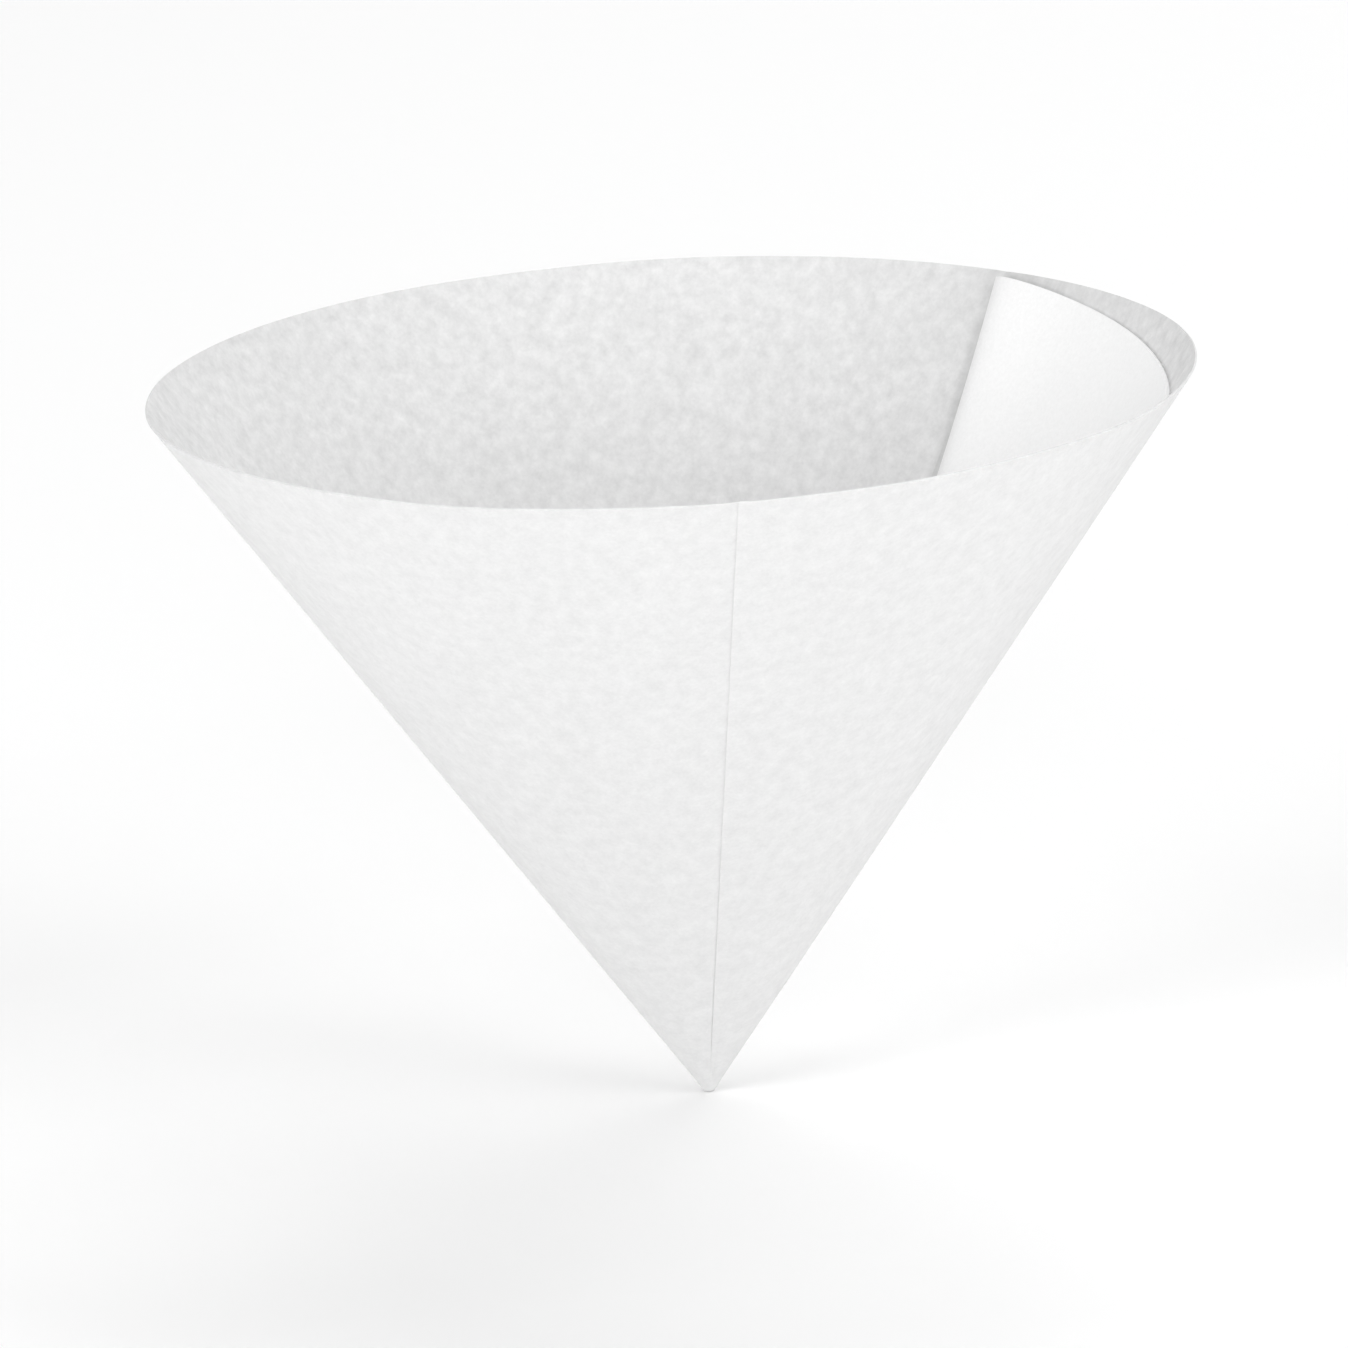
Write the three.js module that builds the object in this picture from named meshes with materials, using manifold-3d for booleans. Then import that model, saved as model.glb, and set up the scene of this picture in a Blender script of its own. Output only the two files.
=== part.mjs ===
// A round laboratory filter paper, folded twice and opened into a cone for a funnel.
//
// One disc makes the whole cone. The half cone on one side is a single ply. On the other side
// the spare paper lies in a pleat, so three plies are on top of each other there: the outer ply,
// a middle ply that runs back, and an inner flap that runs on as the single wall.
//
// Frame: the cone stands on its tip at the origin, and its axis is +Z, with the mouth up.
// Azimuth is measured about the axis from +Y towards +X.

import * as THREE from "three";
import { mergeVertices } from "three/addons/utils/BufferGeometryUtils.js";
import Module from "manifold-3d";

const wasm = await Module();
wasm.setup();

const RADIANS = Math.PI / 180;

// Driving dimensions, in millimetres and degrees
const DISC_DIAMETER = 150;
const PAPER_THICKNESS = 0.2;
const PLY_CLEARANCE = 0.1;
const CONE_HALF_ANGLE = 35.2;
const INNER_FOLD_AZIMUTH = 42.2;
const INNER_FOLD_RADIUS = 0.6;
const INNER_FOLD_BOW = 1.9;
const FLAP_SETTLING_ANGLE = 16;
const PLEAT_GAP = 0.7;
const PLEAT_GAP_END = 0.42;
const EDGE_DROP_AT_FOLD = 0.85;
const EDGE_DROP_DEEPEST = 3.6;
const EDGE_DROP_DEEPEST_AT = 0.4;
const EDGE_DROP_POWER = 1.3;
const MIDDLE_PLY_EXTRA_DROP = 0.5;
const TIP_NOSE_RADIUS = 0.73;
const TIP_SKIN = 0.05;
const TIP_LENGTH = 4.2;
const PLIES_START = 3;
const WALL_SPREAD_AT_TIP = 0.12;
const WALL_SPREAD_LENGTH = 20;

// How finely the sheet is drawn
const PLEAT_STEPS = 30;
const PLEAT_STEP_GROWTH = 1.35;
const SINGLE_WALL_STEPS = 46;
const FOLD_STEPS = 8;
const SLANT_STEPS = 7;
const TIP_SIDES = 48;
const TIP_NOSE_STEPS = 5;

// The disc's radius is the slant height of the cone
const slantHeight = DISC_DIAMETER / 2;
const sinHalfAngle = Math.sin(CONE_HALF_ANGLE * RADIANS);
const cosHalfAngle = Math.cos(CONE_HALF_ANGLE * RADIANS);

// A cone takes 360 sin(half angle) degrees of the disc. The two spare plies share the rest, and
// one degree of paper covers 1 / sin(half angle) degrees of azimuth.
const sparePaperAngle = 360 * (1 - sinHalfAngle);
const pleatAngle = sparePaperAngle / 2 / sinHalfAngle;
const outerFoldAzimuth = INNER_FOLD_AZIMUTH + pleatAngle;

// Mid-plane depths of the pressed plies, from the outer ply inwards
const plyPitch = PAPER_THICKNESS + PLY_CLEARANCE;
const middlePlyDepth = plyPitch;
const flapDepth = 2 * plyPitch;
const tightFoldRadius = plyPitch / 2;

// The nose of the tip touches the tip's own outer face, and its lowest point is the origin
const tipFaceDepth = -(PAPER_THICKNESS / 2 + TIP_SKIN);
const tipFaceApexHeight = tipFaceDepth / sinHalfAngle;
const noseCentreHeight = tipFaceApexHeight + TIP_NOSE_RADIUS / sinHalfAngle;
const apexHeight = TIP_NOSE_RADIUS - noseCentreHeight;

function mix(from, to, share) {
  return from + (to - from) * share;
}

function easeInOut(share) {
  const clamped = Math.min(Math.max(share, 0), 1);
  return clamped * clamped * (3 - 2 * clamped);
}

// Zero at the tip and at the rim, and one halfway
function bulge(slant) {
  const share = slant / slantHeight;
  return 4 * share * (1 - share);
}

// A place on the sheet: slant from the apex, azimuth, distance across and depth inside the cone
function pointOnCone(slant, azimuth, across, depth) {
  const turned = azimuth * RADIANS + across / (slant * sinHalfAngle);
  const radius = slant * sinHalfAngle - depth * cosHalfAngle;
  const height = slant * cosHalfAngle + depth * sinHalfAngle;
  return [radius * Math.sin(turned), radius * Math.cos(turned), height + apexHeight];
}

// The gap between the outer ply and the pleat opens beside the inner fold, towards the rim
function gapDepth(slant, pleatShare) {
  const across = Math.sin(Math.PI * Math.min(pleatShare / PLEAT_GAP_END, 1)) ** 2;
  return PLEAT_GAP * across * (slant / slantHeight);
}

// The inner fold is full halfway up, and pressed tight at the rim and near the tip
function innerFoldRadius(slant) {
  return mix(tightFoldRadius, INNER_FOLD_RADIUS, bulge(slant));
}

// The inner fold bows towards the pleat, and the plies beside it follow
function foldShift(slant, pleatShare) {
  const settled = easeInOut((pleatShare * pleatAngle) / FLAP_SETTLING_ANGLE);
  return INNER_FOLD_BOW * bulge(slant) * (1 - settled);
}

// From 0 at the inner fold to 1 where the pleat's edge is lowest, and back to 0 at the outer fold
function edgeSag(pleatShare) {
  const rise = Math.min(pleatShare / EDGE_DROP_DEEPEST_AT, 1) ** EDGE_DROP_POWER;
  const fall = easeInOut((1 - pleatShare) / (1 - EDGE_DROP_DEEPEST_AT));
  return Math.sin((Math.PI / 2) * rise) * fall;
}

// How far the pleat's cut edge stands below the rim: the disc was folded a little off centre
function pleatEdgeDrop(pleatShare) {
  const fall = easeInOut((1 - pleatShare) / (1 - EDGE_DROP_DEEPEST_AT));
  return EDGE_DROP_AT_FOLD * fall + (EDGE_DROP_DEEPEST - EDGE_DROP_AT_FOLD) * edgeSag(pleatShare);
}

// The flap leaves the full inner fold and settles on the middle ply
function flapDepthAt(slant, pleatShare) {
  const fullness = middlePlyDepth + 2 * innerFoldRadius(slant) - flapDepth;
  const settled = easeInOut((pleatShare * pleatAngle) / FLAP_SETTLING_ANGLE);
  return flapDepth + gapDepth(slant, pleatShare) + fullness * (1 - settled);
}

// The single wall runs out from the flap's depth to the outer ply's, sooner near the pressed tip
function wallDepthAt(slant, wallShare) {
  const spread = mix(WALL_SPREAD_AT_TIP, 1, easeInOut((slant - PLIES_START) / WALL_SPREAD_LENGTH));
  return mix(flapDepth, 0, easeInOut(wallShare / spread));
}

// One line of the sheet from tip to rim, where the sheet lies along the cone
function plyLine(azimuth, direction, edgeDrop, depthAt, acrossAt = () => 0) {
  const sectionAt = (slant) => ({
    across: acrossAt(slant),
    depth: depthAt(slant),
    normalAcross: 0,
    normalDepth: direction,
  });
  return { azimuth, edgeDrop, sectionAt };
}

// One line of the sheet from tip to rim, on the bend of a fold
function foldLine(azimuth, turn, side, edgeDrop, startDepth, radiusAt, acrossAt = () => 0) {
  const sectionAt = (slant) => {
    const radius = radiusAt(slant);
    const normalAcross = -Math.sin(turn);
    const normalDepth = Math.cos(turn);
    return {
      across: acrossAt(slant) + side * radius * normalAcross,
      depth: startDepth + radius + side * radius * normalDepth,
      normalAcross,
      normalDepth,
    };
  };
  return { azimuth, edgeDrop, sectionAt };
}

// The lines of the closed sheet in order: outer ply, outer fold, middle ply, inner fold, flap
// and single wall
function sheetLines() {
  const lines = [];
  const shareOfStep = (step) => (step / PLEAT_STEPS) ** PLEAT_STEP_GROWTH;
  const azimuthOf = (share) => INNER_FOLD_AZIMUTH + share * pleatAngle;

  for (let step = 0; step < PLEAT_STEPS; step += 1) {
    lines.push(plyLine(azimuthOf(shareOfStep(step)), 1, 0, () => 0));
  }

  for (let step = 0; step <= FOLD_STEPS; step += 1) {
    const turn = Math.PI * (step / FOLD_STEPS);
    lines.push(foldLine(outerFoldAzimuth, turn, -1, 0, 0, () => tightFoldRadius));
  }

  for (let step = PLEAT_STEPS - 1; step > 0; step -= 1) {
    const share = shareOfStep(step);
    const edgeDrop = pleatEdgeDrop(share) + MIDDLE_PLY_EXTRA_DROP * edgeSag(share);
    const depthAt = (slant) => middlePlyDepth + gapDepth(slant, share);
    const acrossAt = (slant) => foldShift(slant, share);
    lines.push(plyLine(azimuthOf(share), -1, edgeDrop, depthAt, acrossAt));
  }

  for (let step = 0; step <= FOLD_STEPS; step += 1) {
    const turn = Math.PI * (1 - step / FOLD_STEPS);
    const bend = [INNER_FOLD_AZIMUTH, turn, 1, pleatEdgeDrop(0), middlePlyDepth];
    lines.push(foldLine(...bend, innerFoldRadius, (slant) => foldShift(slant, 0)));
  }

  for (let step = 1; step < PLEAT_STEPS; step += 1) {
    const share = shareOfStep(step);
    const depthAt = (slant) => flapDepthAt(slant, share);
    const acrossAt = (slant) => foldShift(slant, share);
    lines.push(plyLine(azimuthOf(share), 1, pleatEdgeDrop(share), depthAt, acrossAt));
  }

  for (let step = 0; step < SINGLE_WALL_STEPS; step += 1) {
    const share = step / SINGLE_WALL_STEPS;
    const azimuth = mix(outerFoldAzimuth, INNER_FOLD_AZIMUTH + 360, share);
    lines.push(plyLine(azimuth, 1, 0, (slant) => wallDepthAt(slant, share)));
  }

  return lines;
}

// The sheet as a closed skin: two faces, the cut edge at the rim and the closed edge at the tip
function sheetGeometry() {
  const lines = sheetLines();
  const positions = [];
  for (let level = 0; level <= SLANT_STEPS; level += 1) {
    for (const line of lines) {
      const rim = slantHeight - line.edgeDrop;
      const slant = mix(PLIES_START, rim, level / SLANT_STEPS);
      const section = line.sectionAt(slant);
      for (const face of [1, -1]) {
        const offset = (face * PAPER_THICKNESS) / 2;
        const across = section.across + offset * section.normalAcross;
        const depth = section.depth + offset * section.normalDepth;
        positions.push(...pointOnCone(slant, line.azimuth, across, depth));
      }
    }
  }

  const vertex = (level, line, face) => 2 * (level * lines.length + (line % lines.length)) + face;
  const index = [];
  const addQuad = (a, b, c, d) => index.push(a, b, c, a, c, d);
  for (let line = 0; line < lines.length; line += 1) {
    const next = line + 1;
    for (let level = 0; level < SLANT_STEPS; level += 1) {
      const up = level + 1;
      addQuad(vertex(level, line, 0), vertex(level, next, 0), vertex(up, next, 0), vertex(up, line, 0));
      addQuad(vertex(level, next, 1), vertex(level, line, 1), vertex(up, line, 1), vertex(up, next, 1));
    }
    const top = SLANT_STEPS;
    addQuad(vertex(top, line, 0), vertex(top, next, 0), vertex(top, next, 1), vertex(top, line, 1));
    addQuad(vertex(0, next, 0), vertex(0, line, 0), vertex(0, line, 1), vertex(0, next, 1));
  }

  const geometry = new THREE.BufferGeometry();
  geometry.setAttribute("position", new THREE.Float32BufferAttribute(positions, 3));
  geometry.setIndex(index);
  return geometry;
}

// The tip, where all the folds meet and the paper is pressed into one blunt point
function tipGeometry() {
  const spread = sinHalfAngle / cosHalfAngle;
  const faceRadiusAt = (height) => (height - apexHeight - tipFaceApexHeight) * spread;
  const topHeight = TIP_LENGTH * cosHalfAngle + apexHeight;
  const profile = [];
  for (let step = 0; step <= TIP_NOSE_STEPS; step += 1) {
    const angle = mix(-90, -CONE_HALF_ANGLE, step / TIP_NOSE_STEPS) * RADIANS;
    const radius = step === 0 ? 0 : TIP_NOSE_RADIUS * Math.cos(angle);
    profile.push(new THREE.Vector2(radius, TIP_NOSE_RADIUS + TIP_NOSE_RADIUS * Math.sin(angle)));
  }
  const shoulderRadius = faceRadiusAt(topHeight);
  profile.push(new THREE.Vector2(shoulderRadius, topHeight));
  profile.push(new THREE.Vector2(shoulderRadius - PAPER_THICKNESS, topHeight + PAPER_THICKNESS));
  profile.push(new THREE.Vector2(0, topHeight + PAPER_THICKNESS));
  return new THREE.LatheGeometry(profile, TIP_SIDES).rotateX(Math.PI / 2);
}

// A closed skin with merged vertices becomes a solid that can be joined
function toSolid(geometry) {
  geometry.deleteAttribute("normal");
  geometry.deleteAttribute("uv");
  const merged = mergeVertices(geometry);
  const triangles = [];
  for (let corner = 0; corner < merged.index.count; corner += 3) {
    const [a, b, c] = [0, 1, 2].map((offset) => merged.index.getX(corner + offset));
    if (a !== b && b !== c && c !== a) {
      triangles.push(a, b, c);
    }
  }
  return new wasm.Manifold(new wasm.Mesh({
    numProp: 3,
    vertProperties: new Float32Array(merged.attributes.position.array),
    triVerts: new Uint32Array(triangles),
  }));
}

function toGeometry(solid) {
  const { vertProperties, triVerts } = solid.getMesh();
  const geometry = new THREE.BufferGeometry();
  geometry.setAttribute("position", new THREE.BufferAttribute(vertProperties, 3));
  geometry.setIndex(new THREE.BufferAttribute(triVerts, 1));
  geometry.computeVertexNormals();
  return geometry;
}

const paper = new THREE.MeshStandardMaterial({
  color: 0xf1f1ef,
  roughness: 0.95,
  metalness: 0,
  side: THREE.DoubleSide,
});

const foldedPaper = new THREE.Mesh(toGeometry(toSolid(sheetGeometry()).add(toSolid(tipGeometry()))), paper);
foldedPaper.name = "filter_paper";

const group = new THREE.Group();
group.add(foldedPaper);

export default group;
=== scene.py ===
"""A round laboratory filter paper, folded into a pleated cone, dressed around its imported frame.

The sheet is drawn again as a finer closed skin on the same folds as the frame's solid, with the soft
waves, opened creases and full inner fold of real paper, and gets an uncoated cotton-paper finish.
"""

import logging
import math
from dataclasses import dataclass, field
from enum import Enum
from typing import Iterable, Optional

import bpy
import numpy as np
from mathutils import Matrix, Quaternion, Vector


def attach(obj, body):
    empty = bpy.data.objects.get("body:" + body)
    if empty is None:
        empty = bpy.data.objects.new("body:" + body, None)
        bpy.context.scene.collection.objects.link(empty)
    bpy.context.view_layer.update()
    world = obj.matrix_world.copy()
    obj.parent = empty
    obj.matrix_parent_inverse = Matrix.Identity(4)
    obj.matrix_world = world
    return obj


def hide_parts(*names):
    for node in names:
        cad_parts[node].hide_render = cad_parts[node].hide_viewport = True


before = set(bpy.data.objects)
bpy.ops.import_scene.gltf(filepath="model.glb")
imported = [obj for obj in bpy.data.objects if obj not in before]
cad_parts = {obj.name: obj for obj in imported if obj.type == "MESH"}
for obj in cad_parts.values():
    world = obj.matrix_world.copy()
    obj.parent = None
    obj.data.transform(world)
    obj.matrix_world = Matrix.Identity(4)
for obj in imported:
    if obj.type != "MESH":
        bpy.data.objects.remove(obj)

MM = 0.001
NODE = "filter_paper"
BODY = "root"

# The colour sockets of the mix node, which share their names with its other sockets
MIX_FIRST = 6
MIX_SECOND = 7
MIX_RESULT = 2

Amount = np.ndarray | float

log = logging.getLogger("filter_paper")


def as_linear(hex_colour: str) -> tuple[float, float, float, float]:
    """Turn an sRGB hex colour into the linear colour that shaders take.

    Args:
        hex_colour: Six hex digits, with or without a leading hash.

    Returns:
        Red, green, blue and alpha, from 0 to 1.
    """
    digits = hex_colour.lstrip("#")
    channels = [int(digits[place:place + 2], 16) / 255 for place in (0, 2, 4)]
    linear = [c / 12.92 if c <= 0.04045 else ((c + 0.055) / 1.055) ** 2.4 for c in channels]
    return (linear[0], linear[1], linear[2], 1.0)


def add_node(
    tree: bpy.types.NodeTree,
    kind: str,
    settings: Optional[dict[str | int, object]] = None,
    links: Optional[dict[str | int, bpy.types.NodeSocket]] = None,
) -> bpy.types.Node:
    """Add one node with its settings and links.

    Args:
        tree: The tree that gets the node.
        kind: The node's type name.
        settings: Values by name. A name of the node's own is a property, any other is an input's
            name or number.
        links: Output sockets by the name or number of the input that each feeds.

    Returns:
        The new node.
    """
    node = tree.nodes.new(kind)
    for name, value in (settings or {}).items():
        if isinstance(name, str) and hasattr(node, name):
            setattr(node, name, value)
        else:
            node.inputs[name].default_value = value
    for name, socket in (links or {}).items():
        tree.links.new(socket, node.inputs[name])
    return node


def new_material(name: str) -> tuple[bpy.types.Material, bpy.types.NodeTree]:
    """Make an empty node material.

    Args:
        name: The material's name.

    Returns:
        The material and its node tree.
    """
    material = bpy.data.materials.new(name)
    material.use_nodes = True
    material.node_tree.nodes.clear()
    return material, material.node_tree


def ease(share: Amount) -> Amount:
    """Ease from 0 to 1 with level ends."""
    clamped = np.clip(share, 0.0, 1.0)
    return clamped * clamped * (3 - 2 * clamped)


def mix(start: Amount, end: Amount, share: Amount) -> Amount:
    """Go from start to end by a share."""
    return start + (end - start) * share


class Ply(Enum):
    """The stretches of the one sheet, in the order in which they run round the cone."""

    OUTER = "outer"
    OUTER_FOLD = "outer fold"
    MIDDLE = "middle"
    INNER_FOLD = "inner fold"
    FLAP = "flap"
    SINGLE = "single"


class Face(Enum):
    """The two faces of the sheet, by the side of the mid-plane that each is on."""

    LEFT = 1
    RIGHT = -1


@dataclass(frozen=True)
class PaperPattern:
    """One cloudy pattern of the sheet.

    The width of its lumps is in millimetres on the flat sheet. Detail is how many finer layers it
    has, roughness how strong they are, and contrast how far it takes the brightness either way.
    """

    width: float
    detail: float
    roughness: float
    contrast: float

    def settings(self) -> dict[str, float]:
        """Give the settings of a noise with lumps of this width."""
        return {"Scale": 1 / self.width, "Detail": self.detail, "Roughness": self.roughness}


@dataclass(frozen=True)
class CottonPaper:
    """Filter paper: cotton linters laid wet on a wire, pressed and dried, with no coating or filler.

    That gives the eye a dead matt, neutral white sheet. The fibres settle in flocs, so one ply held
    to the light is cloudy, and three plies together look dense, whiter and more even. The flocs
    fade by a power of what shows through, and the reliefs are in millimetres.
    """

    name: str = "uncoated cotton filter paper, wet laid"
    dense_colour: str = "#F7F7F7"
    thin_colour: str = "#DBDBDB"
    roughness: float = 0.93
    cellulose_ior: float = 1.5
    specular_level: float = 0.25
    fuzz_sheen: float = 0.06
    fuzz_sheen_roughness: float = 0.6
    flocs: PaperPattern = PaperPattern(width=1.35, detail=3.0, roughness=0.62, contrast=0.20)
    clouds: PaperPattern = PaperPattern(width=6.0, detail=2.0, roughness=0.5, contrast=0.04)
    # A cotton fibre is 0.02 mm wide, too fine to show, so tufts of 0.3 mm stand for the fibres
    fibres: PaperPattern = PaperPattern(width=0.30, detail=2.0, roughness=0.65, contrast=0.06)
    mottle_fade: float = 3.0
    floc_relief: float = 0.010
    fibre_relief: float = 0.012

    def build(self) -> bpy.types.Material:
        """Build the finish.

        Returns:
            A material that reads the sheet's own places, in millimetres on the flat disc, its
            show_through, which is 1 where one ply has nothing behind it, and its painted shade, the share
            by which the colour is darkened beside the inner fold, in the pleat's mouth and towards the
            tip.
        """
        material, tree = new_material(self.name)
        place = add_node(tree, "ShaderNodeAttribute", {"attribute_name": "flat_place"}).outputs["Vector"]
        through = add_node(tree, "ShaderNodeAttribute", {"attribute_name": "show_through"}).outputs["Fac"]
        shade = add_node(tree, "ShaderNodeAttribute", {"attribute_name": "painted_shade"}).outputs["Fac"]
        flocs, clouds, fibres = (
            add_node(tree, "ShaderNodeTexNoise", pattern.settings(), {"Vector": place}).outputs["Fac"]
            for pattern in (self.flocs, self.clouds, self.fibres)
        )

        # Clouds and flocs, centred on zero, fade where other plies lie behind
        cloudy = add_node(
            tree,
            "ShaderNodeMath",
            {
                "operation": "MULTIPLY_ADD",
                1: 2 * self.clouds.contrast,
                2: -self.clouds.contrast - self.flocs.contrast,
            },
            {0: clouds},
        )
        mottled = add_node(
            tree,
            "ShaderNodeMath",
            {"operation": "MULTIPLY_ADD", 1: 2 * self.flocs.contrast},
            {0: flocs, 2: cloudy.outputs["Value"]},
        )
        fade = add_node(
            tree,
            "ShaderNodeMath",
            {"operation": "POWER", 1: self.mottle_fade},
            {0: through},
        )
        faded = add_node(
            tree,
            "ShaderNodeMath",
            {"operation": "MULTIPLY_ADD", 2: 1 - self.fibres.contrast},
            {0: mottled.outputs["Value"], 1: fade.outputs["Value"]},
        )

        # The fibres on the surface show everywhere
        grained = add_node(
            tree,
            "ShaderNodeMath",
            {"operation": "MULTIPLY_ADD", 1: 2 * self.fibres.contrast},
            {0: fibres, 2: faded.outputs["Value"]},
        )
        # Painted shade: the colour is darkened by the sheet's painted shade beside the inner fold, in the
        # pleat's mouth and towards the tip
        unshaded = add_node(tree, "ShaderNodeMath", {"operation": "SUBTRACT", 0: 1.0}, {1: shade})
        brightness = add_node(
            tree,
            "ShaderNodeMath",
            {"operation": "MULTIPLY"},
            {0: grained.outputs["Value"], 1: unshaded.outputs["Value"]},
        )
        sheet_colour = add_node(
            tree,
            "ShaderNodeMix",
            {
                "data_type": "RGBA",
                MIX_FIRST: as_linear(self.dense_colour),
                MIX_SECOND: as_linear(self.thin_colour),
            },
            {"Factor": through},
        )
        tinted = add_node(
            tree,
            "ShaderNodeVectorMath",
            {"operation": "SCALE"},
            {0: sheet_colour.outputs[MIX_RESULT], "Scale": brightness.outputs["Value"]},
        )

        floc_bump = add_node(
            tree,
            "ShaderNodeBump",
            {"Strength": 1.0, "Distance": self.floc_relief * MM},
            {"Height": flocs},
        )
        fibre_bump = add_node(
            tree,
            "ShaderNodeBump",
            {"Strength": 1.0, "Distance": self.fibre_relief * MM},
            {"Height": fibres, "Normal": floc_bump.outputs["Normal"]},
        )
        shader = add_node(
            tree,
            "ShaderNodeBsdfPrincipled",
            {
                "Roughness": self.roughness,
                "IOR": self.cellulose_ior,
                "Specular IOR Level": self.specular_level,
                "Sheen Weight": self.fuzz_sheen,
                "Sheen Roughness": self.fuzz_sheen_roughness,
            },
            {"Base Color": tinted.outputs["Vector"], "Normal": fibre_bump.outputs["Normal"]},
        )
        add_node(tree, "ShaderNodeOutputMaterial", links={"Surface": shader.outputs["BSDF"]})
        return material


@dataclass(frozen=True)
class PaintedFloor:
    """A studio floor in matt white emulsion, rolled on: plain and pale, with no gloss."""

    name: str = "matt white emulsion paint, rolled"
    colour: str = "#FEFEFE"
    roughness: float = 1.0
    specular_level: float = 0.0
    stipple_width: float = 3.0
    stipple_contrast: float = 0.004

    def build(self) -> bpy.types.Material:
        """Build the finish, with a trace of the roller's stipple in its tone."""
        material, tree = new_material(self.name)
        place = add_node(tree, "ShaderNodeTexCoord").outputs["Object"]
        scale = 1 / (self.stipple_width * MM)
        stipple = add_node(tree, "ShaderNodeTexNoise", {"Scale": scale}, {"Vector": place})
        tone = add_node(
            tree,
            "ShaderNodeMapRange",
            {"To Min": 1 - self.stipple_contrast, "To Max": 1.0},
            {"Value": stipple.outputs["Fac"]},
        )
        paint = add_node(
            tree,
            "ShaderNodeVectorMath",
            {"operation": "SCALE", 0: as_linear(self.colour)[:3]},
            {"Scale": tone.outputs["Result"]},
        )
        shader = add_node(
            tree,
            "ShaderNodeBsdfPrincipled",
            {"Roughness": self.roughness, "Specular IOR Level": self.specular_level},
            {"Base Color": paint.outputs["Vector"]},
        )
        add_node(tree, "ShaderNodeOutputMaterial", links={"Surface": shader.outputs["BSDF"]})
        return material


@dataclass(frozen=True)
class SheetLine:
    """One line of the sheet from tip to rim.

    Azimuth is in degrees round the cone, and paper_angle in degrees round the flat disc. The share
    is how far along its stretch the line lies, counted from the inner fold on the pleat's plies.
    Turn is how far a fold has turned the sheet, in radians, and bend is the side on which a fold's
    bend lies: 1 into the cone, -1 out of it and 0 where the sheet isn't bent.
    """

    ply: Ply
    azimuth: float
    paper_angle: float
    share_along: float
    turn: float = 0.0
    bend: int = 0


@dataclass(frozen=True)
class PaperWave:
    """One slow wave of the paper: its depth in millimetres and how many there are round the cone.

    The phase is in radians, and the lean is how far the phase moves from tip to rim.
    """

    depth: float
    count: int
    phase: float
    lean: float


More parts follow.
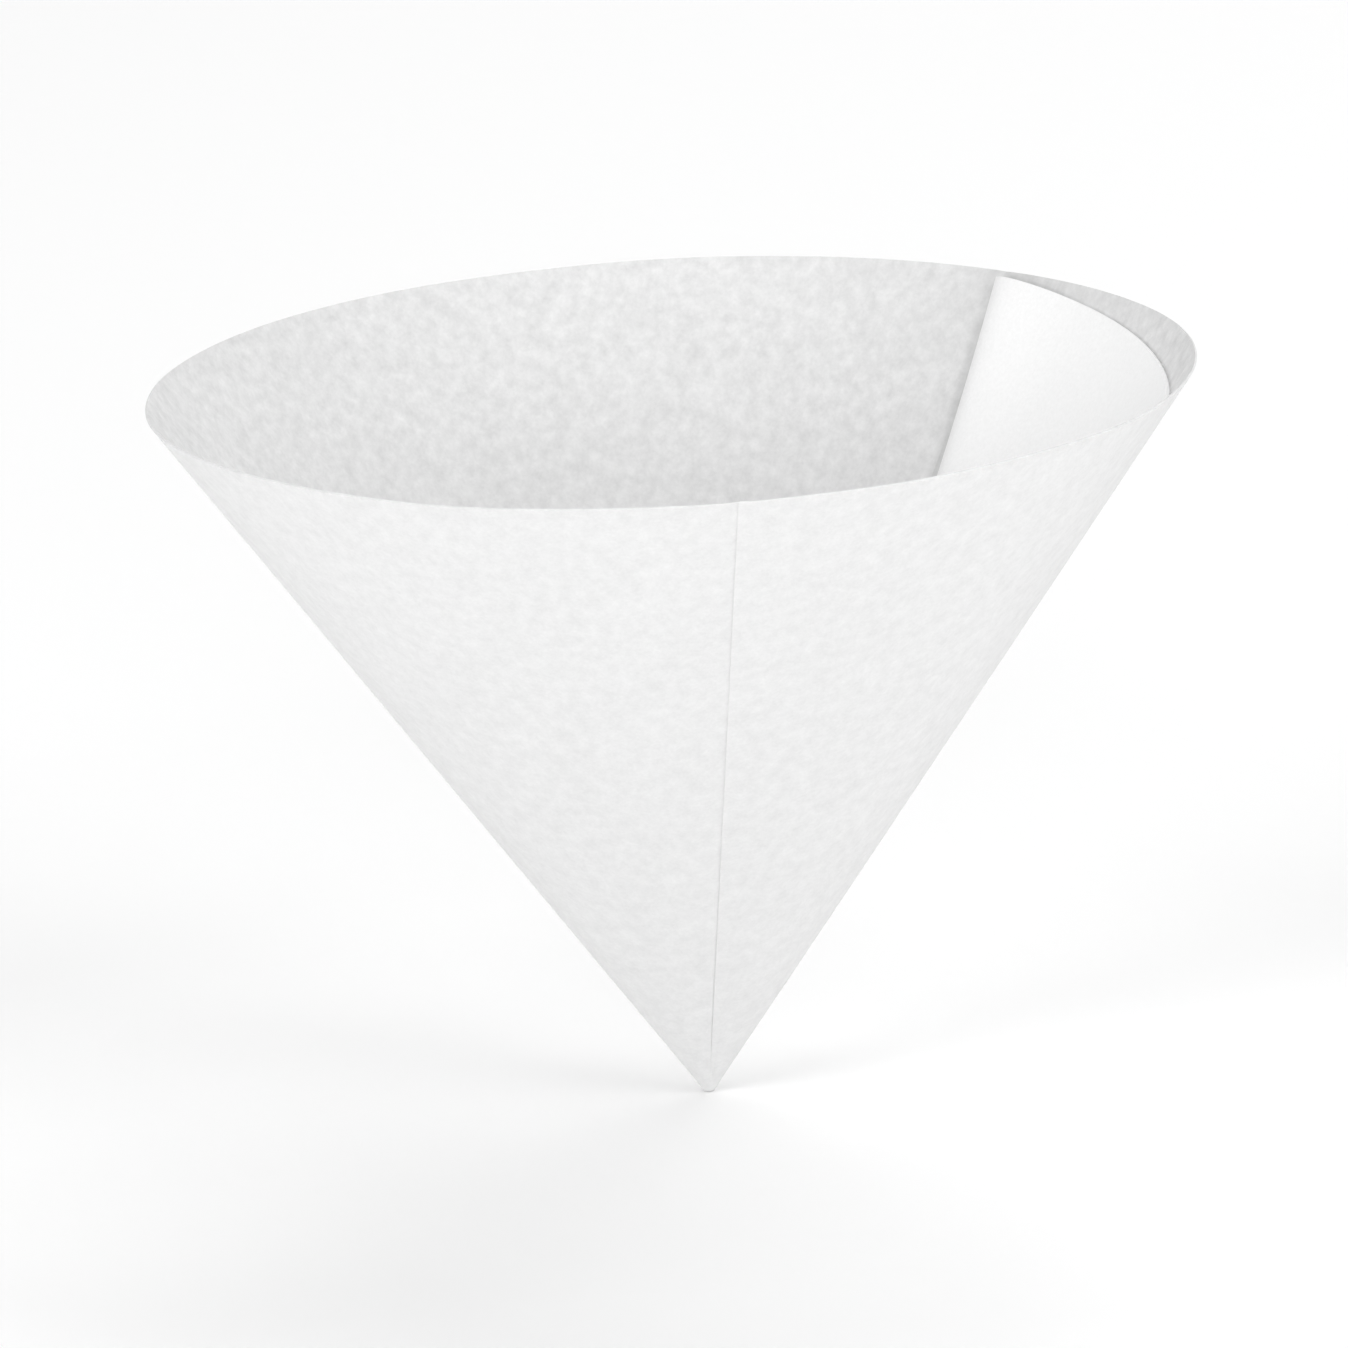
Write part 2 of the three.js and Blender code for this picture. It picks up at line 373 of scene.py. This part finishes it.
@dataclass
class FoldedPaper:
    """The folded sheet, with its sizes in millimetres and degrees.

    The cone stands on its tip at the origin. Azimuth is measured about +Z from +Y towards +X. Depth
    is measured into the cone from the outer ply's mid-plane.
    """

    finish: CottonPaper = CottonPaper()

    # The disc and the cone
    disc_diameter: float = 150.0
    thickness: float = 0.2
    ply_clearance: float = 0.03
    half_angle: float = 35.2
    apex_height: float = -0.276

    # The inner fold, and the flap that it holds off the outer ply
    inner_fold_azimuth: float = 41.4
    inner_fold_radius: float = 0.28
    inner_fold_bow: float = 1.9
    flap_crown: float = 0.45
    flap_crown_width: float = 0.75
    flap_settling_angle: float = 16.0
    pleat_gap: float = 0.02
    pleat_gap_end: float = 0.42

    # How far the pleat's cut edge stands below the rim
    edge_drop_at_fold: float = 0.23
    edge_drop_deepest: float = 3.08
    edge_drop_deepest_at: float = 0.4
    edge_drop_power: float = 1.3
    middle_ply_extra_drop: float = 0.1
    edge_drop_beside_fold: float = 0.62
    edge_drop_beside_fold_angle: float = 5.0

    # The outer fold, pressed flat, and the single wall that leaves it
    fold_press: float = 0.16
    fold_press_angle: float = 8.0
    wall_settling_angle: float = 1.6

    # The blunt tip
    tip_nose_radius: float = 0.73
    tip_length: float = 5.2
    tip_skin: float = 0.03
    tip_floor_slant: float = 2.5
    tip_floor_depth: float = 0.05
    tip_floor_height: float = 1.5
    plies_start: float = 2.2

    # Slow waves, and the creases that the second fold left
    wave_margin: float = 0.1
    soft_crease_depth: float = 0.08
    soft_crease_width: float = 2.5
    open_crease_depth: float = 0.12
    open_crease_width: float = 0.6
    paper_waves: tuple[PaperWave, ...] = (
        PaperWave(0.10, 3, 0.7, 1.3),
        PaperWave(0.07, 5, 2.1, -2.2),
        PaperWave(0.045, 8, 4.0, 3.4),
        PaperWave(0.03, 13, 1.1, 7.0),
    )

    # Painted shade, the share by which the colour is darkened in the crevice, round the fold, in the
    # pleat's mouth and at the tip
    crevice_shade: float = 0.12
    crevice_reach: float = 0.8
    crevice_fade: float = 0.8
    fold_round_shade: float = 0.10
    fold_round_width: float = 0.8
    pleat_mouth_shade: float = 0.16
    pleat_mouth_reach: float = 6.0
    tip_shade: float = 0.03

    # How much shows through, from 0 for dense to 1 for one ply
    outside_show_through: float = 0.79
    pleat_show_through: float = 0.06

    # How finely the sheet is drawn
    degrees_per_step: float = 1.2
    step_refinement: float = 0.85
    fold_steps: int = 14
    slant_step: float = 1.5
    tip_nose_steps: int = 8
    tip_flank_steps: int = 6
    tip_sides: int = 160
    smooth_angle: float = 40.0

    # What follows from the driving sizes
    slant_height: float = field(init=False)
    sine: float = field(init=False)
    cosine: float = field(init=False)
    pleat_angle: float = field(init=False)
    outer_fold_azimuth: float = field(init=False)
    pitch: float = field(init=False)

    def __post_init__(self) -> None:
        """Work out what follows from the driving sizes."""
        self.slant_height = self.disc_diameter / 2
        self.sine = math.sin(math.radians(self.half_angle))
        self.cosine = math.cos(math.radians(self.half_angle))
        self.pleat_angle = 180 * (1 - self.sine) / self.sine
        self.outer_fold_azimuth = self.inner_fold_azimuth + self.pleat_angle
        self.pitch = self.thickness + self.ply_clearance

    def point(
        self,
        slant: np.ndarray,
        azimuth: np.ndarray,
        across: np.ndarray,
        depth: np.ndarray,
    ) -> np.ndarray:
        """Place points on the cone.

        Args:
            slant: Distance from the apex along the cone.
            azimuth: Azimuth in degrees.
            across: Distance round the cone from that azimuth.
            depth: Distance into the cone.

        Returns:
            Points in metres, one in each row.
        """
        turned = np.radians(azimuth) + across / (slant * self.sine)
        radius = slant * self.sine - depth * self.cosine
        height = slant * self.cosine + depth * self.sine + self.apex_height
        return np.stack([radius * np.sin(turned), radius * np.cos(turned), height], axis=-1) * MM

    def bulge(self, slant: np.ndarray) -> np.ndarray:
        """Give 0 at the tip and at the rim, and 1 halfway."""
        share = slant / self.slant_height
        return 4 * share * (1 - share)

    def press(self, azimuth: float) -> float:
        """Give how thin the plies are pressed beside the outer fold, as a share of their thickness."""
        away = abs(azimuth - self.outer_fold_azimuth)
        return mix(self.fold_press, 1.0, ease(away / self.fold_press_angle))

    def gap(self, slant: np.ndarray, share_along: float) -> np.ndarray:
        """Give the depth of the open gap between the outer ply and the pleat."""
        across = math.sin(math.pi * min(share_along / self.pleat_gap_end, 1.0)) ** 2
        return self.pleat_gap * across * slant / self.slant_height

    def fold_radius(self, slant: np.ndarray) -> np.ndarray:
        """Give the inner fold's radius, which grows from the tip to halfway up."""
        return mix(self.pitch / 2, self.inner_fold_radius, ease(2 * slant / self.slant_height))

    def distance_round(self, slant: np.ndarray, angle: float) -> np.ndarray:
        """Turn an angle of azimuth into a distance round the cone."""
        return slant * self.sine * math.radians(angle)

    def steps(self, angle: float) -> list[float]:
        """Divide an angle into steps that are finer at both ends.

        Args:
            angle: The angle to divide, in degrees.

        Returns:
            Shares of the angle, from 0 to 1.
        """
        count = round(angle / self.degrees_per_step)
        return [mix(step / count, ease(step / count), self.step_refinement) for step in range(count + 1)]

    def fold_shift(self, slant: np.ndarray, share_along: float) -> np.ndarray:
        """Give how far the bowed inner fold takes a line of the pleat with it."""
        settled = ease(share_along * self.pleat_angle / self.flap_settling_angle)
        return self.inner_fold_bow * self.bulge(slant) * (1 - settled)

    def edge_drop(self, line: SheetLine) -> float:
        """Give how far a line's cut edge stands below the rim."""
        if line.ply not in (Ply.MIDDLE, Ply.INNER_FOLD, Ply.FLAP):
            return 0.0
        rise = min(line.share_along / self.edge_drop_deepest_at, 1.0) ** self.edge_drop_power
        fall = ease((1 - line.share_along) / (1 - self.edge_drop_deepest_at))
        sag = math.sin(math.pi / 2 * rise) * fall
        drop = self.edge_drop_at_fold * fall + (self.edge_drop_deepest - self.edge_drop_at_fold) * sag
        beside = (1 - line.share_along) * self.pleat_angle / self.edge_drop_beside_fold_angle
        drop += self.edge_drop_beside_fold * ease(beside)
        return drop + (self.middle_ply_extra_drop * sag if line.ply is Ply.MIDDLE else 0.0)

    def section(self, line: SheetLine, slant: np.ndarray) -> tuple[np.ndarray, np.ndarray]:
        """Find where a line's mid-plane lies, and its normal in the section.

        Args:
            line: The line.
            slant: Distances from the apex.

        Returns:
            Across and depth as rows of one array, and the normal's across and depth as the other.
        """
        flat = np.zeros_like(slant)
        normal = np.stack([flat - math.sin(line.turn), flat + math.cos(line.turn)])
        if line.ply is Ply.OUTER_FOLD:
            radius, start = flat + self.pitch / 2 * self.fold_press, 0.0
        else:
            radius, start = self.fold_radius(slant), self.pitch
        shift = flat
        if line.ply in (Ply.MIDDLE, Ply.INNER_FOLD, Ply.FLAP):
            shift = self.fold_shift(slant, line.share_along)
        if line.bend:
            place = line.bend * radius * normal
            return np.stack([place[0] + shift, place[1] + start + radius]), normal
        return np.stack([shift, self.ply_depth(line, slant)]), normal

    def ply_depth(self, line: SheetLine, slant: np.ndarray) -> np.ndarray:
        """Give the depth of a ply's mid-plane along a line, leaving the folds' bends aside."""
        pitch = self.pitch * self.press(line.azimuth)
        if line.ply is Ply.MIDDLE:
            return pitch + self.gap(slant, line.share_along)
        if line.ply is Ply.FLAP:
            from_fold = self.distance_round(slant, line.share_along * self.pleat_angle)
            crown = self.flap_crown * (1 - np.exp(-from_fold / self.flap_crown_width))
            crown *= ease(slant / self.slant_height)
            fullness = 2 * self.fold_radius(slant) - pitch + crown
            settled = ease(line.share_along * self.pleat_angle / self.flap_settling_angle)
            return 2 * pitch + self.gap(slant, line.share_along) + fullness * (1 - settled)
        if line.ply is Ply.SINGLE:
            away = line.azimuth - self.outer_fold_azimuth
            return np.full_like(slant, mix(2 * pitch, 0.0, ease(away / self.wall_settling_angle)))
        return np.zeros_like(slant)

    def waves(self, line: SheetLine, slant: np.ndarray) -> np.ndarray:
        """Give the paper's slow waves and its two opened creases, as depth.

        The creases are where the second fold was pressed, at the inner fold and opposite it. A sheet
        opened again stays a little pointed there, and more so where the pleat stands off it.

        Args:
            line: The line.
            slant: Distances from the apex.

        Returns:
            The added depth.
        """
        turn = math.radians(line.azimuth)
        height = slant / self.slant_height
        depth = np.full_like(slant, self.wave_margin)
        for wave in self.paper_waves:
            depth += wave.depth * np.sin(wave.count * turn + wave.phase + wave.lean * height)
        open_depth = self.open_crease_depth if line.ply in (Ply.SINGLE, Ply.OUTER) else 0.0
        creases = (
            (self.inner_fold_azimuth, open_depth, self.open_crease_width),
            (self.inner_fold_azimuth + 180, self.soft_crease_depth, self.soft_crease_width),
        )
        for azimuth, crease_depth, width in creases:
            away = abs((line.azimuth - azimuth + 180) % 360 - 180)
            depth -= crease_depth * np.exp(-self.distance_round(slant, away) / width)
        return depth * ease(height)

    def lines(self) -> list[SheetLine]:
        """List the lines of the closed sheet in order.

        Returns:
            The lines, from the outer ply at the inner fold round to the single wall's end there.
        """
        shares = self.steps(self.pleat_angle)
        paper = self.pleat_angle * self.sine
        half_turns = [step / self.fold_steps for step in range(self.fold_steps + 1)]
        made = []

        def along(ply: Ply, share: float, travelled: float, turn: float) -> SheetLine:
            """Make a line of one of the pleat's plies."""
            azimuth = self.inner_fold_azimuth + share * self.pleat_angle
            return SheetLine(ply, azimuth, travelled, share, turn)

        made += [along(Ply.OUTER, share, share * paper, 0.0) for share in shares[:-1]]
        made += [
            SheetLine(Ply.OUTER_FOLD, self.outer_fold_azimuth, paper, 1.0, math.pi * half, -1)
            for half in half_turns
        ]
        made += [along(Ply.MIDDLE, share, (2 - share) * paper, math.pi) for share in shares[-2:0:-1]]
        made += [
            SheetLine(Ply.INNER_FOLD, self.inner_fold_azimuth, 2 * paper, 0.0, math.pi * (1 - half), 1)
            for half in half_turns
        ]
        made += [along(Ply.FLAP, share, (2 + share) * paper, 0.0) for share in shares[1:-1]]
        rest = 360 - self.pleat_angle
        for share in self.steps(rest)[:-1]:
            azimuth = self.outer_fold_azimuth + share * rest
            travelled = (3 * self.pleat_angle + share * rest) * self.sine
            made.append(SheetLine(Ply.SINGLE, azimuth, travelled, share))
        return made

    def show_through(self, line: SheetLine, face: Face) -> float:
        """Say how thin the paper looks from a face, from 0 for dense to 1 for one ply."""
        if line.ply in (Ply.SINGLE, Ply.OUTER):
            return 1.0 if face is Face.LEFT else self.outside_show_through
        return self.outside_show_through if line.ply is Ply.OUTER_FOLD else self.pleat_show_through

    def painted_shade(self, line: SheetLine, face: Face, slant: np.ndarray) -> np.ndarray:
        """Find the painted shade that darkens a face's colour beside the inner fold or down at the tip.

        Args:
            line: The line.
            face: The face.
            slant: Distances from the apex.

        Returns:
            The share of painted shade.
        """
        # Painted shade on the outward faces and the outer fold, darker towards the tip
        if face is Face.RIGHT or line.ply is Ply.OUTER_FOLD:
            return self.tip_shade * (1 - slant / self.slant_height)
        # Painted shade over the inner fold's bend
        if line.ply is Ply.INNER_FOLD:
            return np.full_like(slant, self.fold_round_shade)
        whole_turn = 360 if line.ply is Ply.SINGLE else 0
        from_crease = self.distance_round(slant, line.azimuth - self.inner_fold_azimuth - whole_turn)
        # Painted shade in the crevice, on the single wall just left of the inner fold
        if line.ply is Ply.SINGLE:
            fold_side = self.fold_shift(slant, 0.0) - self.fold_radius(slant) - self.thickness / 2
            clear = (fold_side - from_crease - self.crevice_reach) / self.crevice_fade
            return self.crevice_shade * (1 - ease(clear))
        # Painted shade in the pleat's mouth, on the outer ply's inside near the inner fold
        if line.ply is Ply.OUTER:
            return self.pleat_mouth_shade * np.exp(-from_crease / self.pleat_mouth_reach)
        # Painted shade on the pleat's plies, fading away from the inner fold
        return self.fold_round_shade * np.exp(-from_crease / self.fold_round_width)

    def sheet(self) -> tuple[np.ndarray, list[tuple[int, ...]], dict[str, np.ndarray]]:
        """Draw the closed skin of the sheet.

        Returns:
            Points in metres, faces and the values that the finish reads at each point.
        """
        lines = self.lines()
        levels = round((self.slant_height - self.plies_start) / self.slant_step)
        shares = np.linspace(0.0, 1.0, levels + 1)
        points = np.zeros((levels + 1, len(lines), 2, 3))
        places = np.zeros_like(points)
        through = np.zeros(points.shape[:3])
        shade = np.zeros(points.shape[:3])
        for number, line in enumerate(lines):
            slant = mix(self.plies_start, self.slant_height - self.edge_drop(line), shares)
            place, normal = self.section(line, slant)
            azimuth = np.full_like(slant, line.azimuth)
            wave = self.waves(line, slant)
            angle = math.radians(line.paper_angle)
            for column, face in enumerate(Face):
                offset = face.value * self.thickness * self.press(line.azimuth) / 2
                across = place[0] + offset * normal[0]
                depth = place[1] + offset * normal[1] + wave
                points[:, number, column] = self.point(slant, azimuth, across, depth)
                places[:, number, column, 0] = slant * math.cos(angle)
                places[:, number, column, 1] = slant * math.sin(angle)
                places[:, number, column, 2] = offset
                through[:, number, column] = self.show_through(line, face)
                # Painted shade, which the finish takes off the colour
                shade[:, number, column] = self.painted_shade(line, face, slant)
        faces = self.sheet_faces(levels, len(lines))
        values = {
            "flat_place": places.reshape(-1, 3),
            "show_through": through.reshape(-1),
            "painted_shade": shade.reshape(-1),
        }
        return points.reshape(-1, 3), faces, values

    def sheet_faces(self, levels: int, count: int) -> list[tuple[int, ...]]:
        """Join the points of the sheet: both faces, the cut edge and the edge inside the tip.

        Args:
            levels: How many steps the sheet has from tip to rim.
            count: How many lines it has.

        Returns:
            The faces, seen from outside the paper.
        """
        def vertex(level: int, line: int, column: int) -> int:
            """Give the number of a point of the sheet."""
            return 2 * (level * count + line % count) + column

        faces = []
        for line in range(count):
            after = line + 1
            for level in range(levels):
                for near, far, column in ((line, after, 0), (after, line, 1)):
                    corners = ((level, near), (level, far), (level + 1, far), (level + 1, near))
                    faces.append(tuple(vertex(row, place, column) for row, place in corners))
            for level, near, far in ((levels, line, after), (0, after, line)):
                corners = ((near, 0), (far, 0), (far, 1), (near, 1))
                faces.append(tuple(vertex(level, place, column) for place, column in corners))
        return faces

    def tip(self) -> tuple[np.ndarray, list[tuple[int, ...]], dict[str, np.ndarray]]:
        """Draw the blunt tip, where the folds meet and the plies are pressed together.

        Its skin ends inside the outer ply and turns down to a small hollow floor.

        Returns:
            Points in metres, faces and the values that the finish reads at each point.
        """
        face_depth = -(self.thickness / 2 + self.tip_skin)
        rings = []
        for step in range(1, self.tip_nose_steps + 1):
            angle = math.radians(mix(-90.0, -self.half_angle, step / self.tip_nose_steps))
            radius = self.tip_nose_radius * math.cos(angle)
            rings.append((radius, self.tip_nose_radius * (1 + math.sin(angle))))
        nose_slant = (rings[-1][1] - self.apex_height) / self.cosine
        for step in range(1, self.tip_flank_steps + 1):
            share = step / self.tip_flank_steps
            slant = mix(nose_slant, self.tip_length, share)
            depth = mix(face_depth, 0.0, ease(share))
            radius = slant * self.sine - depth * self.cosine
            rings.append((radius, slant * self.cosine + depth * self.sine + self.apex_height))
        floor_radius = self.tip_floor_slant * self.sine - self.tip_floor_depth * self.cosine
        floor_rise = self.tip_floor_slant * self.cosine + self.tip_floor_depth * self.sine
        rings.append((floor_radius, floor_rise + self.apex_height))

        turn = np.radians(np.arange(self.tip_sides) * 360 / self.tip_sides)
        points = [np.array([[0.0, 0.0, 0.0]])]
        for radius, height in rings:
            round_turn = [radius * np.sin(turn), radius * np.cos(turn), np.full_like(turn, height)]
            points.append(np.stack(round_turn, axis=-1))
        points.append(np.array([[0.0, 0.0, self.tip_floor_height]]))
        all_points = np.concatenate(points)

        sides = self.tip_sides
        last = len(all_points) - 1
        faces = []
        for side in range(sides):
            after = (side + 1) % sides
            faces.append((0, 1 + side, 1 + after))
            for ring in range(len(rings) - 1):
                low, high = 1 + ring * sides, 1 + (ring + 1) * sides
                faces.append((low + side, high + side, high + after, low + after))
            top = 1 + (len(rings) - 1) * sides
            faces.append((top + side, last, top + after))
        # The tip carries an even painted shade
        values = {
            "flat_place": all_points,
            "show_through": np.full(len(all_points), self.outside_show_through),
            "painted_shade": np.full(len(all_points), self.tip_shade),
        }
        return all_points * MM, faces, values

    def build(self) -> bpy.types.Object:
        """Build the sheet and its tip as one object.

        Returns:
            The object, with its attributes and finish.
        """
        points, faces, values = self.sheet()
        tip_points, tip_faces, tip_values = self.tip()
        shift = len(points)
        faces = faces + [tuple(corner + shift for corner in face) for face in tip_faces]
        mesh = bpy.data.meshes.new("folded_filter_paper")
        mesh.from_pydata(np.concatenate([points, tip_points]).tolist(), [], faces)
        mesh.validate()
        for name, sheet_values in values.items():
            kind, field_name = ("FLOAT_VECTOR", "vector") if sheet_values.ndim > 1 else ("FLOAT", "value")
            attribute = mesh.attributes.new(name, kind, "POINT")
            joined = np.concatenate([sheet_values, tip_values[name]]).astype(np.float32)
            attribute.data.foreach_set(field_name, joined.ravel())
        mesh.shade_smooth()
        mesh.set_sharp_from_angle(angle=math.radians(self.smooth_angle))
        mesh.materials.append(self.finish.build())
        piece = bpy.data.objects.new("folded_filter_paper", mesh)
        bpy.context.scene.collection.objects.link(piece)
        return piece


@dataclass
class Studio:
    """A white floor under an even white light, with softboxes that shape the cone."""

    finish: PaintedFloor = PaintedFloor()
    floor_radius: float = 4.0
    floor_sides: int = 96
    sky_colour: str = "#FFFFFF"
    sky_strength: float = 0.18

    def floor(self) -> bpy.types.Object:
        """Lay the round floor that the tip touches."""
        turns = np.arange(self.floor_sides) * 2 * math.pi / self.floor_sides
        points = [(self.floor_radius * math.cos(t), self.floor_radius * math.sin(t), 0.0) for t in turns]
        mesh = bpy.data.meshes.new("studio_floor")
        mesh.from_pydata(points, [], [tuple(range(self.floor_sides))])
        mesh.materials.append(self.finish.build())
        floor = bpy.data.objects.new("studio_floor", mesh)
        bpy.context.scene.collection.objects.link(floor)
        return floor

    def sky(self) -> None:
        """Fill the room with even light."""
        world = bpy.data.worlds.new("white_room")
        world.use_nodes = True
        tree = world.node_tree
        tree.nodes.clear()
        settings = {"Color": as_linear(self.sky_colour), "Strength": self.sky_strength}
        light = add_node(tree, "ShaderNodeBackground", settings)
        add_node(tree, "ShaderNodeOutputWorld", links={"Surface": light.outputs["Background"]})
        bpy.context.scene.world = world


@dataclass(frozen=True)
class Softbox:
    """A square softbox that faces the cone.

    Azimuth and elevation are in degrees, as for the paper, distance and width in metres and power
    in watts.
    """

    name: str
    azimuth: float
    elevation: float
    power: float
    distance: float = 1.3
    width: float = 0.7
    aim: tuple[float, float, float] = (0.0, 0.0, 0.03)

    def build(self) -> bpy.types.Object:
        """Hang the softbox, out of the camera's sight."""
        lamp = bpy.data.lights.new(self.name, "AREA")
        lamp.shape = "SQUARE"
        lamp.size = self.width
        lamp.energy = self.power
        softbox = bpy.data.objects.new(self.name, lamp)
        turn, rise = math.radians(self.azimuth), math.radians(self.elevation)
        level = math.cos(rise)
        way = Vector((math.sin(turn) * level, math.cos(turn) * level, math.sin(rise)))
        softbox.location = Vector(self.aim) + way * self.distance
        softbox.rotation_euler = (-way).to_track_quat("-Z", "Y").to_euler()
        softbox.visible_camera = False
        bpy.context.scene.collection.objects.link(softbox)
        return softbox


@dataclass(frozen=True)
class StudioCamera:
    """A long lens at the photograph's angle, with distances in metres and angles in degrees."""

    distance: float = 1.145
    elevation: float = 16.5
    roll: float = 3.02
    aim: tuple[float, float, float] = (-0.0011, 0.0, 0.0360)
    framed_width: float = 0.1122
    sensor_width: float = 36.0
    nearest_seen: float = 0.01
    farthest_seen: float = 23.0

    def build(self) -> bpy.types.Object:
        """Set the camera up.

        Returns:
            The camera, which is also the scene's.
        """
        data = bpy.data.cameras.new("camera")
        data.sensor_width = self.sensor_width
        data.lens = self.sensor_width * self.distance / self.framed_width
        data.clip_start = self.nearest_seen
        data.clip_end = self.farthest_seen
        camera = bpy.data.objects.new("camera", data)
        rise = math.radians(self.elevation)
        camera.location = (0.0, -self.distance * math.cos(rise), self.distance * math.sin(rise))
        way = Vector(self.aim) - camera.location
        camera.rotation_mode = "QUATERNION"
        upright = way.to_track_quat("-Z", "Y")
        roll = Quaternion((0.0, 0.0, 1.0), math.radians(-self.roll))
        camera.rotation_quaternion = upright @ roll
        bpy.context.scene.collection.objects.link(camera)
        bpy.context.scene.camera = camera
        return camera


SOFTBOXES = (
    Softbox("overhead", 180.0, 88.0, 1.1),
    Softbox("front_low", 180.0, 22.0, 4.6),
    Softbox("left_high", 235.0, 50.0, 1.4),
    Softbox("left_low", 235.0, 18.0, 7.2),
    Softbox("right_high", 125.0, 50.0, 2.0),
    Softbox("right_low", 125.0, 18.0, 6.0),
    Softbox("back_high", 0.0, 50.0, 5.0),
    Softbox("back_right", 50.0, 50.0, 3.3),
)


def main() -> None:
    """Build the folded paper, the studio and the camera."""
    logging.basicConfig(level=logging.INFO, format="%(name)s: %(message)s")
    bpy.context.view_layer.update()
    bpy.context.scene.view_settings.view_transform = "Standard"

    paper = FoldedPaper().build()
    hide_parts(NODE)
    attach(paper, BODY)
    log.info("%s has %d faces", paper.name, len(paper.data.polygons))

    studio = Studio()
    floor = studio.floor()
    studio.sky()
    for softbox in SOFTBOXES:
        log.info("hung %s", softbox.build().name)
    StudioCamera().build()

    bpy.context.view_layer.update()


if __name__ == "__main__":
    main()
